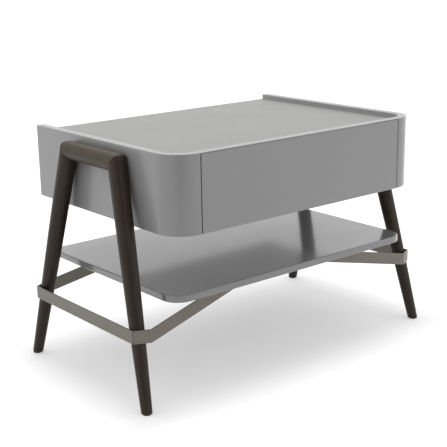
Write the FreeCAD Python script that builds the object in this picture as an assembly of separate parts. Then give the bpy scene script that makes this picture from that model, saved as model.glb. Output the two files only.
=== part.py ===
"""Low lacquered table: a box with one drawer, hung between two round-legged trestles, over a shelf.

Millimetres. X runs to the right, -Y to the front, +Z up. The origin is on the floor, under the
centre of the table. Left pieces are drawn at -X; the right ones are their mirror images.
"""
import FreeCAD, Part
import math
import os

Vector = FreeCAD.Vector

# ---- driving dimensions: the box -------------------------------------------------------------
CASE_WIDTH = 1000.0
CASE_DEPTH = 730.0
CASE_BOTTOM = 511.0            # underside of the box above the floor
TOP_SURFACE = 725.5            # the surface that things stand on
RIM_TOP = 742.0                # raised edge on the left, the front and the right
RIM_EDGE = 3.0                 # height of the rim's thin front edge above the drawer
WALL = 28.0                    # side panels and rim
CORNER_RADIUS = 88.0           # outside radius of the two front corners
BOARD = 18.0                   # top, bottom and inner uprights
BACK_BOARD = 12.0
BACK_INSET = 4.0
UPRIGHT_SETBACK = 3.0          # the uprights start this far behind the front corners' ends
SIDE_GAP = 3.0                 # shadow gap left and right of the drawer front
RIM_GAP = 0.8                  # and between it and the rim
FINGER_ROOM = 25.0             # how far the bottom board stands back behind the drawer front

# ---- driving dimensions: the drawer and its runners -------------------------------------------
FRONT_WIDTH = 810.0
FRONT_THICK = 22.0
FINGER_GROOVE = 10.0           # depth of the groove behind the front's lower edge
FINGER_GROOVE_HEIGHT = 22.0
BOX_SIDE = 15.0                # drawer side and back
BOX_DEPTH = 610.0
BOX_LOW = 541.0
BOX_HIGH = 686.0
BOX_FLOOR = 8.0
BOX_FLOOR_LIFT = 8.0           # from the sides' lower edge to the floor panel
GROOVE_DEPTH = 6.0
RUNNER_SPACE = 12.7            # between upright and drawer side
RUNNER_LENGTH = 550.0
RUNNER_HEIGHT = 600.0          # height of the runners' centre line
RUNNER_SHEET = 1.2

# ---- driving dimensions: trestles, straps and shelf -------------------------------------------
FOOT_X, FOOT_Y = 580.0, 310.0  # where a leg's axis meets the floor
RAIL_X, RAIL_Y, RAIL_Z = 525.0, 130.0, 697.0   # where it meets the top rail's axis
LEG_RADIUS_FOOT = 16.4
LEG_RADIUS_MIDDLE = 24.2
RAIL_RADIUS = 28.0
ELBOW_RADIUS = 30.5            # how far the rounded corner of the mitre stands out
GLIDE_HEIGHT = 3.0
GLIDE_RADIUS = 13.0

STRAP_LOW, STRAP_HIGH = 202.0, 242.5
STRAP_THICK = 4.0
STRAP_CORNER = (588.5, 268.0)  # first bend, outside a leg
STRAP_KINK = (541.0, 291.0)    # second bend, in front of or behind a leg
STRAP_TURN_IN = 0.12           # y per x of the run towards the shelf
STRAP_RISE = 0.212             # z per x of the same run
STRAP_END_LOW = 284.0          # height of its lower edge at its inner end
STRAP_SEAM = 0.5
FLANGE_WIDTH = 26.0
FLANGE_LENGTH = 90.0

SHELF_HALF_WIDTH = 490.0
SHELF_HALF_DEPTH = 337.5
SHELF_LOW, SHELF_HIGH = 311.0, 333.0
SHELF_CORNER = 60.0

# ---- fasteners -------------------------------------------------------------------------------
CLEARANCE = 0.05               # radial room of a glued or screwed fastener in its hole
BOLT_RADIUS = 3.0
INSERT_RADIUS = 5.0
BOLT_SPREAD = 75.0             # trestle bolts stand at this distance either side of the centre
DOWEL_RADIUS = 5.0
DOWEL_LENGTH = 40.0
SCREW_RADIUS = 2.0
SCREW_HEAD_RADIUS = 4.0
STANDOFF = 1.5                 # between the box and the flat planed on each trestle

# ---- worked out from the above ----------------------------------------------------------------
HALF = CASE_WIDTH / 2
FRONT_Y = -CASE_DEPTH / 2
REAR_Y = CASE_DEPTH / 2
INNER = HALF - WALL            # inner face of a side panel
INNER_Y = FRONT_Y + WALL       # rear face of the front rim
RETURN_X = FRONT_WIDTH / 2 + SIDE_GAP
UPRIGHT_X = RETURN_X + 0.5     # inner face of an upright, which carries a runner
BOX_HALF = UPRIGHT_X - RUNNER_SPACE
FRONT_BACK_Y = FRONT_Y + FRONT_THICK
BACK_Y = REAR_Y - BACK_INSET - BACK_BOARD


def box(low, high):
    """A box from its lowest to its highest corner."""
    low, high = Vector(*low), Vector(*high)
    size = high - low
    return Part.makeBox(size.x, size.y, size.z, low)


def prism(points, height):
    """A closed plane outline, pushed along a vector."""
    wire = Part.makePolygon([Vector(*p) for p in points] + [Vector(*points[0])])
    return Part.Face(wire).extrude(Vector(*height))


def cylinder(radius, start, end):
    """A round bar from one point to another."""
    start, end = Vector(*start), Vector(*end)
    return Part.makeCylinder(radius, (end - start).Length, start, end - start)


def mirror_x(shape):
    return shape.mirror(Vector(0, 0, 0), Vector(1, 0, 0))


def mirror_y(shape):
    return shape.mirror(Vector(0, 0, 0), Vector(0, 1, 0))


def mirror_pair(name, shape):
    """The drawn left piece and its right mirror image."""
    return {f"{name}_left": shape, f"{name}_right": mirror_x(shape)}


def four(shapes):
    """Solids drawn for the front left, repeated at all four corners."""
    left = shapes + [mirror_y(shape) for shape in shapes]
    return left + [mirror_x(shape) for shape in left]


def group(shapes):
    return Part.makeCompound(shapes)


def cut_all(shape, tools):
    for tool in tools:
        shape = shape.cut(tool)
    return shape


def screw(tip, head, radius, head_radius, head_height):
    """A plain screw with a countersunk head, from its tip to the top of its head."""
    tip, head = Vector(*tip), Vector(*head)
    along = (head - tip).normalize()
    shank = Part.makeCylinder(radius, (head - tip).Length, tip, along)
    sink = Part.makeCone(radius, head_radius, head_height, head - along * head_height, along)
    return shank.fuse(sink).removeSplitter()


def screw_hole(tip, head, radius, head_radius, head_height):
    """The hole that holds a screw, with a little room around it."""
    return screw(tip, head, radius + CLEARANCE, head_radius + CLEARANCE, head_height)


# ---- the box ---------------------------------------------------------------------------------
def side_outline(z):
    """Plan of the left side panel: straight side, round front corner, short return."""
    centre = Vector(-HALF + CORNER_RADIUS, FRONT_Y + CORNER_RADIUS, z)
    turn = math.sqrt(0.5)
    inner_radius = CORNER_RADIUS - WALL

    def arc(radius):
        """Quarter round from the left side to the front."""
        return Part.Arc(centre + Vector(-radius, 0, 0),
                        centre + Vector(-radius * turn, -radius * turn, 0),
                        centre + Vector(0, -radius, 0)).toShape()

    def line(start, end):
        return Part.LineSegment(Vector(*start, z), Vector(*end, z)).toShape()

    outer = [line((-HALF, REAR_Y), (-HALF, centre.y)), arc(CORNER_RADIUS),
             line((centre.x, FRONT_Y), (-RETURN_X, FRONT_Y))]
    end = [line((-RETURN_X, FRONT_Y), (-RETURN_X, INNER_Y))]
    inner = [line((-RETURN_X, INNER_Y), (centre.x, INNER_Y)), arc(inner_radius),
             line((-INNER, centre.y), (-INNER, REAR_Y))]
    rear = [line((-INNER, REAR_Y), (-HALF, REAR_Y))]
    return Part.Wire(Part.__sortEdges__(outer + end + inner + rear))


def bolt_holes():
    """Clearance holes for the left trestle bolts through the side panel."""
    radius = BOLT_RADIUS + 0.5
    return [cylinder(radius, (-INNER + 1, y, RAIL_Z), (-HALF - 1, y, RAIL_Z))
            for y in (-BOLT_SPREAD, BOLT_SPREAD)]


def side_panel():
    panel = Part.Face(side_outline(CASE_BOTTOM)).extrude(Vector(0, 0, RIM_TOP - CASE_BOTTOM))
    return cut_all(panel, bolt_holes())


def front_rail():
    """Rim above the drawer, bevelled at 45 degrees down to the top's underside."""
    foot = RIM_TOP - RIM_EDGE - WALL
    section = [(-RETURN_X, FRONT_Y, RIM_TOP), (-RETURN_X, INNER_Y, RIM_TOP),
               (-RETURN_X, INNER_Y, foot), (-RETURN_X, FRONT_Y, RIM_TOP - RIM_EDGE)]
    return prism(section, (2 * RETURN_X, 0, 0))


def top_panel():
    low = TOP_SURFACE - BOARD
    panel = box((-INNER, INNER_Y, low), (INNER, REAR_Y, TOP_SURFACE))
    corners = [edge for edge in panel.Edges
               if abs(edge.Vertexes[0].X - edge.Vertexes[1].X) < 1
               and abs(edge.Vertexes[0].Y - edge.Vertexes[1].Y) < 1
               and edge.Vertexes[0].Y < 0]
    return panel.makeFillet(CORNER_RADIUS - WALL, corners)


def bottom_panel():
    """Bottom board, shaped to the insides of the two round corners."""
    board = box((-INNER, INNER_Y + FINGER_ROOM, CASE_BOTTOM),
                (INNER, BACK_Y, CASE_BOTTOM + BOARD))
    corner = Part.Face(side_outline(CASE_BOTTOM)).extrude(Vector(0, 0, BOARD))
    return cut_all(board, [corner, mirror_x(corner)])


def back_screw_places():
    """Where the back panel is screwed to the uprights."""
    x = UPRIGHT_X + BOARD / 2
    heights = (CASE_BOTTOM + 40, (CASE_BOTTOM + TOP_SURFACE) / 2, TOP_SURFACE - 40)
    return [(side * x, z) for side in (-1, 1) for z in heights]


def back_screws(make):
    tip, head = BACK_Y - 24, BACK_Y + BACK_BOARD
    return [make((x, tip, z), (x, head, z), SCREW_RADIUS, SCREW_HEAD_RADIUS, 2.5)
            for x, z in back_screw_places()]


def back_panel():
    panel = box((-INNER, BACK_Y, CASE_BOTTOM),
                (INNER, BACK_Y + BACK_BOARD, TOP_SURFACE - BOARD))
    return cut_all(panel, back_screws(screw_hole))


def partition():
    """Left inner upright, between the bottom and the top."""
    upright = box((-UPRIGHT_X - BOARD, INNER_Y + UPRIGHT_SETBACK, CASE_BOTTOM + BOARD),
                  (-UPRIGHT_X, BACK_Y, TOP_SURFACE - BOARD))
    tools = back_screws(screw_hole) + runner_screws(screw_hole, cabinet=True)
    return cut_all(upright, tools)


# ---- runners ---------------------------------------------------------------------------------
RUNNER_FRONT = INNER_Y + UPRIGHT_SETBACK + 2


def channel(web_x, lip_x, height, front, length, sheet=RUNNER_SHEET):
    """A C channel along Y. web_x and lip_x are the outsides of its web and of its lips."""
    low, high = RUNNER_HEIGHT - height / 2, RUNNER_HEIGHT + height / 2
    inward = sheet if lip_x > web_x else -sheet
    section = [(web_x, front, low), (lip_x, front, low), (lip_x, front, low + sheet),
               (web_x + inward, front, low + sheet), (web_x + inward, front, high - sheet),
               (lip_x, front, high - sheet), (lip_x, front, high), (web_x, front, high)]
    return prism(section, (0, length, 0))


def runner_screws(make, cabinet):
    """Screws of the left runner, into the upright or into the drawer side."""
    places = [RUNNER_FRONT + 40, RUNNER_FRONT + RUNNER_LENGTH / 2,
              RUNNER_FRONT + RUNNER_LENGTH - 40]
    if cabinet:
        head, tip = -UPRIGHT_X + RUNNER_SHEET, -UPRIGHT_X - 13
    else:
        head, tip = -BOX_HALF - RUNNER_SHEET, -BOX_HALF + 12
    return [make((tip, y, RUNNER_HEIGHT), (head, y, RUNNER_HEIGHT), 1.7, 2.8, RUNNER_SHEET)
            for y in places]


def cabinet_member():
    member = channel(-UPRIGHT_X, -UPRIGHT_X + 9.0, 45.0, RUNNER_FRONT, RUNNER_LENGTH)
    return cut_all(member, runner_screws(screw_hole, cabinet=True))


def middle_member():
    """The part between: two channels back to back, folded from one strip."""
    web = -UPRIGHT_X + 6.3
    outer = channel(web, web - 4.0, 38.0, RUNNER_FRONT, RUNNER_LENGTH)
    inner = channel(web - RUNNER_SHEET, web + 4.4, 33.0, RUNNER_FRONT, RUNNER_LENGTH)
    return outer.fuse(inner).removeSplitter()


def drawer_member():
    member = channel(-BOX_HALF, -BOX_HALF - 4.6, 27.0, RUNNER_FRONT, RUNNER_LENGTH)
    return cut_all(member, runner_screws(screw_hole, cabinet=False))


# ---- the drawer ------------------------------------------------------------------------------
def front_screws(make):
    """Screws from inside the drawer, through the box front into the drawer front."""
    tip = FRONT_BACK_Y - 14
    head = FRONT_BACK_Y + BOX_SIDE
    return [make((x, tip, z), (x, head, z), SCREW_RADIUS, SCREW_HEAD_RADIUS, 2.5)
            for x in (-300, 0, 300) for z in (BOX_LOW + 45, BOX_HIGH - 30)]


def drawer_front():
    """Front with a bevelled top edge and a finger groove behind its lower edge."""
    x = -FRONT_WIDTH / 2
    top = RIM_TOP - RIM_EDGE - RIM_GAP
    section = [(x, FRONT_Y, CASE_BOTTOM), (x, FRONT_Y, top),
               (x, FRONT_BACK_Y, top - FRONT_THICK), (x, FRONT_BACK_Y, CASE_BOTTOM)]
    front = prism(section, (FRONT_WIDTH, 0, 0))
    length = FRONT_WIDTH - 60
    groove = box((-length / 2, FRONT_BACK_Y - FINGER_GROOVE, CASE_BOTTOM - 1),
                 (length / 2, FRONT_BACK_Y + 1, CASE_BOTTOM + FINGER_GROOVE_HEIGHT))
    round_edges = [edge for edge in groove.Edges
                   if abs(edge.CenterOfMass.z - CASE_BOTTOM - FINGER_GROOVE_HEIGHT) < 0.1
                   and abs(edge.CenterOfMass.y - FRONT_BACK_Y + FINGER_GROOVE) < 0.1]
    groove = groove.makeFillet(FINGER_GROOVE * 0.8, round_edges)
    return cut_all(front.cut(groove), front_screws(screw_hole))


def floor_slot():
    """The grooved space that the drawer's floor panel sits in."""
    room = CLEARANCE
    low = BOX_LOW + BOX_FLOOR_LIFT
    reach = BOX_HALF - BOX_SIDE + GROOVE_DEPTH
    return box((-reach - room, FRONT_BACK_Y + BOX_SIDE - GROOVE_DEPTH - room, low - room),
               (reach + room, FRONT_BACK_Y + BOX_DEPTH - BOX_SIDE + GROOVE_DEPTH + room,
                low + BOX_FLOOR + room))


def drawer_side():
    side = box((-BOX_HALF, FRONT_BACK_Y, BOX_LOW),
               (-BOX_HALF + BOX_SIDE, FRONT_BACK_Y + BOX_DEPTH, BOX_HIGH))
    return cut_all(side.cut(floor_slot()), runner_screws(screw_hole, cabinet=False))


def drawer_end(y):
    """Board across the drawer, between its sides, with its front face at y."""
    half = BOX_HALF - BOX_SIDE
    return box((-half, y, BOX_LOW), (half, y + BOX_SIDE, BOX_HIGH)).cut(floor_slot())


def drawer_bottom():
    low = BOX_LOW + BOX_FLOOR_LIFT
    reach = BOX_HALF - BOX_SIDE + GROOVE_DEPTH
    return box((-reach, FRONT_BACK_Y + BOX_SIDE - GROOVE_DEPTH, low),
               (reach, FRONT_BACK_Y + BOX_DEPTH - BOX_SIDE + GROOVE_DEPTH, low + BOX_FLOOR))


# ---- trestles --------------------------------------------------------------------------------
ELBOW = Vector(-RAIL_X, -RAIL_Y, RAIL_Z)
FOOT = Vector(-FOOT_X, -FOOT_Y, 0)
LEG_DOWN = (FOOT - ELBOW).normalize()
RAIL_IN = Vector(0, 1, 0)
MITRE = (RAIL_IN - LEG_DOWN).normalize()


def half_space(origin, normal):
    """A block big enough to stand for everything on the side that normal points to."""
    size = 400.0
    block = Part.makeBox(size, size, size, Vector(-size / 2, -size / 2, 0))
    block.Placement = FreeCAD.Placement(origin, FreeCAD.Rotation(Vector(0, 0, 1), normal))
    return block


def elbow_tip(direction):
    """End of a round bar past the elbow, rounded off by a ball."""
    bar = Part.makeCylinder(RAIL_RADIUS, ELBOW_RADIUS, ELBOW, direction * -1)
    return bar.common(Part.makeSphere(ELBOW_RADIUS, ELBOW))


def leg_body():
    """Tapered round leg with a slightly full profile, from below the floor to the elbow."""
    length = (FOOT - ELBOW).Length
    curve = Part.BSplineCurve()
    curve.interpolate([Vector(RAIL_RADIUS, 0, 0), Vector(LEG_RADIUS_MIDDLE, 0, length / 2),
                       Vector(LEG_RADIUS_FOOT, 0, length)])
    profile = curve.toShape()
    tail = 12.0
    ends = [Part.makeLine(Vector(LEG_RADIUS_FOOT, 0, length),
                          Vector(LEG_RADIUS_FOOT, 0, length + tail)),
            Part.makeLine(Vector(LEG_RADIUS_FOOT, 0, length + tail), Vector(0, 0, length + tail)),
            Part.makeLine(Vector(0, 0, length + tail), Vector(0, 0, 0)),
            Part.makeLine(Vector(0, 0, 0), Vector(RAIL_RADIUS, 0, 0))]
    face = Part.Face(Part.Wire([profile] + ends))
    leg = face.revolve(Vector(0, 0, 0), Vector(0, 0, 1), 360)
    leg.Placement = FreeCAD.Placement(ELBOW, FreeCAD.Rotation(Vector(0, 0, 1), LEG_DOWN))
    return leg


def rail_dowel(room=0.0):
    start = ELBOW - MITRE * (DOWEL_LENGTH / 2 + room)
    return Part.makeCylinder(DOWEL_RADIUS + room, DOWEL_LENGTH + 2 * room, start, MITRE)


STRAP_BOLT_HEIGHT = (STRAP_LOW + STRAP_HIGH) / 2


def strap_bolt(room=0.0):
    """Bolt through the front left leg from inside, tapped into the back of the strap."""
    corner = Vector(-STRAP_CORNER[0], -STRAP_CORNER[1], STRAP_BOLT_HEIGHT)
    kink = Vector(-STRAP_KINK[0], -STRAP_KINK[1], STRAP_BOLT_HEIGHT)
    along = (kink - corner).normalize()
    outward = Vector(along.y, -along.x, 0)
    share = (ELBOW.z - STRAP_BOLT_HEIGHT) / -LEG_DOWN.z
    centre = ELBOW + LEG_DOWN * share
    reach = (corner - centre).dot(outward) + STRAP_THICK / 2 - 1.0
    radius, head_radius, head = 3.0, 5.5, 3.5
    tail = 12.0
    shank = Part.makeCylinder(radius + room, tail + reach + room, centre - outward * tail, outward)
    top = Part.makeCylinder(head_radius + room, head + (30.0 if room else 0.0),
                            centre - outward * tail, outward * -1)
    return shank.fuse(top).removeSplitter()


def planed_side():
    """What is planed off a left trestle so that it sits flat beside the box."""
    return half_space(Vector(-HALF - STANDOFF, 0, RAIL_Z), Vector(1, 0, 0))


def strap_seat():
    """Shallow flat that the front left strap is let into."""
    corner = Vector(-STRAP_CORNER[0], -STRAP_CORNER[1], STRAP_LOW - CLEARANCE)
    kink = Vector(-STRAP_KINK[0], -STRAP_KINK[1], corner.z)
    along = (kink - corner).normalize()
    inward = Vector(-along.y, along.x, 0)
    near, far = corner - along * 20, kink + along * 20
    lift = inward * (STRAP_THICK / 2 + CLEARANCE)
    outline = [near + lift, far + lift, far - inward * 20, near - inward * 20]
    return prism([tuple(p) for p in outline], (0, 0, STRAP_HIGH - STRAP_LOW + 2 * CLEARANCE))


def leg():
    shape = leg_body().fuse(elbow_tip(LEG_DOWN)).cut(half_space(ELBOW, MITRE))
    below = box((-FOOT_X - 60, -FOOT_Y - 60, -60), (-FOOT_X + 60, -FOOT_Y + 60, GLIDE_HEIGHT))
    return cut_all(shape, [below, planed_side(), strap_seat(), rail_dowel(CLEARANCE),
                           strap_bolt(CLEARANCE)])


def top_rail():
    """Left rail between the two mitres."""
    bar = cylinder(RAIL_RADIUS, ELBOW, (-RAIL_X, RAIL_Y, RAIL_Z))
    tip = elbow_tip(RAIL_IN)
    bar = bar.fuse([tip, mirror_y(tip)])
    corner = half_space(ELBOW, MITRE * -1)
    tools = [corner, mirror_y(corner), rail_dowel(CLEARANCE), mirror_y(rail_dowel(CLEARANCE))]
    tools += [cylinder(INSERT_RADIUS + CLEARANCE, (-HALF, y, RAIL_Z), (-RAIL_X - 6, y, RAIL_Z))
              for y in (-BOLT_SPREAD, BOLT_SPREAD)]
    return cut_all(bar, tools + [planed_side()])


def both_sides(shapes):
    return group(shapes + [mirror_x(shape) for shape in shapes])


def trestle_inserts():
    """Threaded sleeves in the top rails."""
    sleeves = []
    for y in (-BOLT_SPREAD, BOLT_SPREAD):
        start, end = (-HALF - STANDOFF - 0.5, y, RAIL_Z), (-RAIL_X - 6, y, RAIL_Z)
        bore = cylinder(BOLT_RADIUS + CLEARANCE, start, end)
        sleeves.append(cylinder(INSERT_RADIUS, start, end).cut(bore))
    return both_sides(sleeves)


def trestle_bolts():
    """Socket-headed bolts with washers, from inside the box into the rails."""
    bolts = []
    for y in (-BOLT_SPREAD, BOLT_SPREAD):
        washer = cylinder(7.0, (-INNER, y, RAIL_Z), (-INNER + 1.6, y, RAIL_Z))
        shank = cylinder(BOLT_RADIUS, (-INNER + 1.6, y, RAIL_Z), (-RAIL_X - 5, y, RAIL_Z))
        head = cylinder(5.2, (-INNER + 1.6, y, RAIL_Z), (-INNER + 7.6, y, RAIL_Z))
        socket = cylinder(2.5, (-INNER + 4.0, y, RAIL_Z), (-INNER + 8.0, y, RAIL_Z))
        bolts.append(washer.fuse([shank, head]).cut(socket).removeSplitter())
    return both_sides(bolts)


def standoff_washers():
    rings = []
    for y in (-BOLT_SPREAD, BOLT_SPREAD):
        ring = cylinder(11.0, (-HALF, y, RAIL_Z), (-HALF - STANDOFF, y, RAIL_Z))
        hole = cylinder(BOLT_RADIUS + 0.4, (-HALF + 1, y, RAIL_Z), (-HALF - 3, y, RAIL_Z))
        rings.append(ring.cut(hole))
    return both_sides(rings)


def foot_glides():
    return group(four([cylinder(GLIDE_RADIUS, (-FOOT_X, -FOOT_Y, 0),
                                (-FOOT_X, -FOOT_Y, GLIDE_HEIGHT))]))


# ---- straps ----------------------------------------------------------------------------------
def seam_block(side):
    """What the mitre at the front left corner takes off: side 1 off the side bar, -1 off the other."""
    corner = Vector(-STRAP_CORNER[0], -STRAP_CORNER[1], (STRAP_LOW + STRAP_HIGH) / 2)
    kink = Vector(-STRAP_KINK[0], -STRAP_KINK[1], corner.z)
    normal = (Vector(0, -1, 0) + (kink - corner).normalize()).normalize()
    return half_space(corner - normal * (side * STRAP_SEAM / 2), normal * side)


def side_strap():
    """Upright flat bar along the outside of the two left legs, mitred at both ends."""
    x, y = STRAP_CORNER
    half = STRAP_THICK / 2
    bar = box((-x - half, -y - half, STRAP_LOW), (-x + half, y + half, STRAP_HIGH))
    end = seam_block(1)
    return cut_all(bar, [end, mirror_y(end)])


def shelf_strap():
    """Front left bar: past the leg, then rising to the underside of the shelf."""
    corner = Vector(-STRAP_CORNER[0], -STRAP_CORNER[1], 0)
    kink = Vector(-STRAP_KINK[0], -STRAP_KINK[1], 0)
    run = Vector(1, STRAP_TURN_IN, 0)
    across = Vector(-STRAP_TURN_IN, 1, 0).normalize() * STRAP_THICK
    along = (kink - corner).normalize()
    corner = corner - along * STRAP_THICK
    side = Vector(-along.y, along.x, 0) * (STRAP_THICK / 2)

    def up(point, z):
        return (point.x, point.y, z)

    # The mitre at the kink: where the inner and outer faces of the two runs cross.
    bisector = (along + run.normalize()).normalize()
    normal = Vector(-bisector.y, bisector.x, 0)
    spread = (STRAP_THICK / 2) / normal.dot(Vector(-along.y, along.x, 0))
    inner, outer = kink + normal * spread, kink - normal * spread
    first = prism([up(corner - side, STRAP_LOW), up(outer, STRAP_LOW), up(inner, STRAP_LOW),
                   up(corner + side, STRAP_LOW)], (0, 0, STRAP_HIGH - STRAP_LOW))
    reach_top = (SHELF_LOW - STRAP_HIGH) / STRAP_RISE
    reach_end = (STRAP_END_LOW - STRAP_LOW) / STRAP_RISE
    face = [up(outer, STRAP_LOW), up(outer + run * reach_end, STRAP_END_LOW),
            up(outer + run * reach_end, SHELF_LOW), up(outer + run * reach_top, SHELF_LOW),
            up(outer, STRAP_HIGH)]
    second = prism(face, tuple(across))
    # Trim the rising bar to the mitre, so that the two runs meet in one upright plane.
    keep = prism([up(inner, 0), up(outer, 0), up(outer + run * 500, 0),
                  up(outer + run * 500 + across * 3, 0), up(inner + across * 2, 0)], (0, 0, 400))
    second = second.common(keep)
    inner_side = outer + across
    far = inner_side + run * reach_end
    near = far - run * FLANGE_LENGTH
    wide = across.normalize() * FLANGE_WIDTH
    flange = prism([up(near, SHELF_LOW - STRAP_THICK), up(far, SHELF_LOW - STRAP_THICK),
                    up(far + wide, SHELF_LOW - STRAP_THICK),
                    up(near + wide, SHELF_LOW - STRAP_THICK)], (0, 0, STRAP_THICK))
    strap = first.fuse([second, flange]).removeSplitter()
    return cut_all(strap, [seam_block(-1), strap_bolt(CLEARANCE)] + shelf_screws(screw_hole))


def shelf_screws(make):
    """Countersunk screws up through the front left flange into the shelf."""
    run = Vector(1, STRAP_TURN_IN, 0)
    across = Vector(-STRAP_TURN_IN, 1, 0).normalize()
    end = (STRAP_END_LOW - STRAP_LOW) / STRAP_RISE
    start = Vector(-STRAP_KINK[0], -STRAP_KINK[1], 0) + across * (FLANGE_WIDTH * 0.62)
    screws = []
    for back in (20.0, 68.0):
        place = start + run * (end - back)
        screws.append(make((place.x, place.y, SHELF_HIGH - 6),
                           (place.x, place.y, SHELF_LOW - STRAP_THICK),
                           SCREW_RADIUS, SCREW_HEAD_RADIUS, 2.5))
    return screws


def lower_shelf():
    x, y = SHELF_HALF_WIDTH, SHELF_HALF_DEPTH
    board = box((-x, -y, SHELF_LOW), (x, y, SHELF_HIGH))
    corners = [edge for edge in board.Edges
               if abs(edge.Vertexes[0].Z - edge.Vertexes[1].Z) > 1 and edge.Vertexes[0].Y < 0]
    board = board.makeFillet(SHELF_CORNER, corners)
    return cut_all(board, four(shelf_screws(screw_hole)))


# ---- all nodes -------------------------------------------------------------------------------
def all_nodes():
    nodes = {}
    nodes.update(mirror_pair("side_panel", side_panel()))
    nodes["front_rim"] = front_rail()
    nodes["top_panel"] = top_panel()
    nodes["bottom_panel"] = bottom_panel()
    nodes["back_panel"] = back_panel()
    nodes["back_screws"] = group(back_screws(screw))
    nodes.update(mirror_pair("inner_upright", partition()))
    nodes["lower_shelf"] = lower_shelf()

    front_leg = leg()
    rear_leg = mirror_y(front_leg)
    nodes.update(mirror_pair("front_leg", front_leg))
    nodes.update(mirror_pair("rear_leg", rear_leg))
    nodes.update(mirror_pair("top_rail", top_rail()))
    nodes["mitre_dowels"] = group(four([rail_dowel()]))
    nodes["trestle_inserts"] = trestle_inserts()
    nodes["trestle_bolts"] = trestle_bolts()
    nodes["standoff_washers"] = standoff_washers()
    nodes["foot_glides"] = foot_glides()

    nodes.update(mirror_pair("side_strap", side_strap()))
    front_strap = shelf_strap()
    nodes.update(mirror_pair("front_shelf_strap", front_strap))
    nodes.update(mirror_pair("rear_shelf_strap", mirror_y(front_strap)))
    nodes["strap_bolts"] = group(four([strap_bolt()]))
    nodes["shelf_screws"] = group(four(shelf_screws(screw)))

    nodes["drawer_front"] = drawer_front()
    nodes.update(mirror_pair("drawer_side", drawer_side()))
    nodes["drawer_box_front"] = cut_all(drawer_end(FRONT_BACK_Y), front_screws(screw_hole))
    nodes["drawer_back"] = drawer_end(FRONT_BACK_Y + BOX_DEPTH - BOX_SIDE)
    nodes["drawer_bottom"] = drawer_bottom()
    nodes["drawer_front_screws"] = group(front_screws(screw))

    nodes.update(mirror_pair("cabinet_runner", cabinet_member()))
    nodes.update(mirror_pair("middle_runner", middle_member()))
    nodes.update(mirror_pair("drawer_runner", drawer_member()))
    nodes["cabinet_runner_screws"] = both_sides(runner_screws(screw, cabinet=True))
    nodes["drawer_runner_screws"] = both_sides(runner_screws(screw, cabinet=False))
    return nodes


def main():
    os.makedirs("parts", exist_ok=True)
    for name, shape in all_nodes().items():
        if not shape.isValid():
            print("not valid:", name)
        shape.exportStep(f"parts/{name}.step")
        print(f"{name}: {len(shape.Solids)} solid(s), {shape.Volume / 1000:.1f} cm3")


main()
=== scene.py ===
"""Looks of a low lacquered table: one drawer, two dark wooden trestles and flat metal straps."""
import math

import bmesh
import bpy
from mathutils import Matrix, Vector


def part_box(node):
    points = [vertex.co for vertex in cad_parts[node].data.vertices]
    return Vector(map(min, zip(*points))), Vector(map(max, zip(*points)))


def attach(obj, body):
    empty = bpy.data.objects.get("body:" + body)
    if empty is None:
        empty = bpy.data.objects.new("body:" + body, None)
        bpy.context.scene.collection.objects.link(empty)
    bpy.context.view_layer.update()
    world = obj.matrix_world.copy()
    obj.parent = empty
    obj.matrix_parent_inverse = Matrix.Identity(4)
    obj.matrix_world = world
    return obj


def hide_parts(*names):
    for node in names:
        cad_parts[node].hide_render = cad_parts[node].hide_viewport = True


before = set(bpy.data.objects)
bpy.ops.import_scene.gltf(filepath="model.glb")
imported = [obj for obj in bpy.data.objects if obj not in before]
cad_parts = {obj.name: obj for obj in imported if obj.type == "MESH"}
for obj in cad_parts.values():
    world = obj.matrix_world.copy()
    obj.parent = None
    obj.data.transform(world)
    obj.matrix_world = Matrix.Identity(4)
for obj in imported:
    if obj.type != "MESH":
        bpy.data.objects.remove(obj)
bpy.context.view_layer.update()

MM = 0.001

# ---- sizes that the frame doesn't state ------------------------------------------------------
WALL = 28 * MM                 # side panels and rim
RIM_EDGE = 3 * MM              # the rim's thin front edge over the drawer
CORNER_RADIUS = 88 * MM        # round front corners of the case
SHELF_CORNER = 60 * MM
EDGE = 1.4 * MM                # eased edges of the lacquered boards
SHELF_EDGE = 4.5 * MM
BOARD_EDGE = 0.5 * MM
ARC_STEPS = 40

FOOT = Vector((-580, -310, 0)) * MM        # where the front left leg's axis meets the floor
ELBOW = Vector((-525, -130, 697)) * MM
RADIUS_FOOT, RADIUS_MIDDLE, RADIUS_RAIL = 16.4 * MM, 24.2 * MM, 28 * MM
ELBOW_SOFT = 19 * MM           # from the elbow's centre, the mitre's corner rounds off from here
ELBOW_REACH = 30 * MM          # to here
PLANED_X = -501.5 * MM         # the trestles are planed flat beside the case
MITRE_JOINT = 0.25 * MM
MITRE_EDGE = 1.2 * MM          # eased edges on both sides of the joint
MITRE_ZONE = 60 * MM           # length of rail whose rings follow the mitre
RAIL_PAINTED_LIGHT = 2.0                # painted light: the rails' wood is painted this much paler than the legs' to stand for the light falling on them
ROUND_STEPS = 64

STRAP_CORNER = Vector((-588.5, -268)) * MM
STRAP_KINK = Vector((-541, -291)) * MM
STRAP_TURN_IN, STRAP_RISE = 0.12, 0.212
STRAP_THICK = 4 * MM
STRAP_EDGE = 0.7 * MM
STRAP_BEND = 5 * MM
STRAP_SEAM = 0.5 * MM
FLANGE_LENGTH, FLANGE_REACH = 90 * MM, 28 * MM     # the flat end that is screwed to the shelf
FLANGE_LAP = 1.9 * MM          # where the flange starts inside the strap

BALL_RADIUS = 1.05 * MM        # the runners' balls, centred in the 2.3 mm between two members
BALL_CENTRE = 1.15 * MM        # from the middle member's edge to a ball's centre
BALL_INSET = 1.8 * MM          # from the middle member's outer side to a row
BALL_ROW_START = 280 * MM      # a row starts this far behind the member's front end
BALL_PITCH, BALL_COUNT = 9 * MM, 24


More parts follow.
